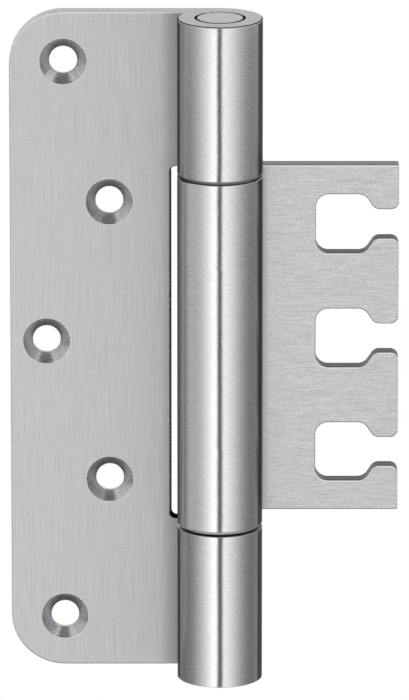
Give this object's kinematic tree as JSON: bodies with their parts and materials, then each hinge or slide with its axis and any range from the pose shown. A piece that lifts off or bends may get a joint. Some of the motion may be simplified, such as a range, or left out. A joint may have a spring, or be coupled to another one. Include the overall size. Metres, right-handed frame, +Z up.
{
  "type": "heavy-duty door hinge",
  "caption": "Heavy-duty door hinge: a screwed door leaf and a cranked frame leaf with hook slots, both rolled from thick sheet round one pin that turns in flanged bushes.",
  "frame": {"origin": "centre of the pin's lower end face, on the pin axis", "axes": "+Z up along the pin; +X towards the frame leaf with the hinge opened flat; +Y towards the backs of the leaves, so the countersunk face looks along -Y"},
  "size_m": [0.0912, 0.024, 0.16],
  "materials": {
    "door_leaf_steel": "satin stainless steel, brushed along the pin",
    "frame_leaf_steel": "satin stainless steel, brushed across the pin",
    "pin_steel": "ground stainless steel",
    "bearing_steel": "dull steel backing of a dry bearing",
    "screw_steel": "plain stainless steel"
  },
  "bodies": {
    "frame_side": {"frame_leaf": "frame_leaf_steel", "upper_bearing_bush": "bearing_steel", "lower_bearing_bush": "bearing_steel"},
    "door_side": {"door_leaf": "door_leaf_steel", "hinge_pin": "pin_steel", "pin_grub_screw": "screw_steel"}
  },
  "joints": [
    {"name": "leaf_swing", "type": "hinge", "parent": "frame_side", "child": "door_side", "pos_m": [0, 0, 0.08], "axis": [0, 0, 1], "range_deg": [0, 180]}
  ]
}
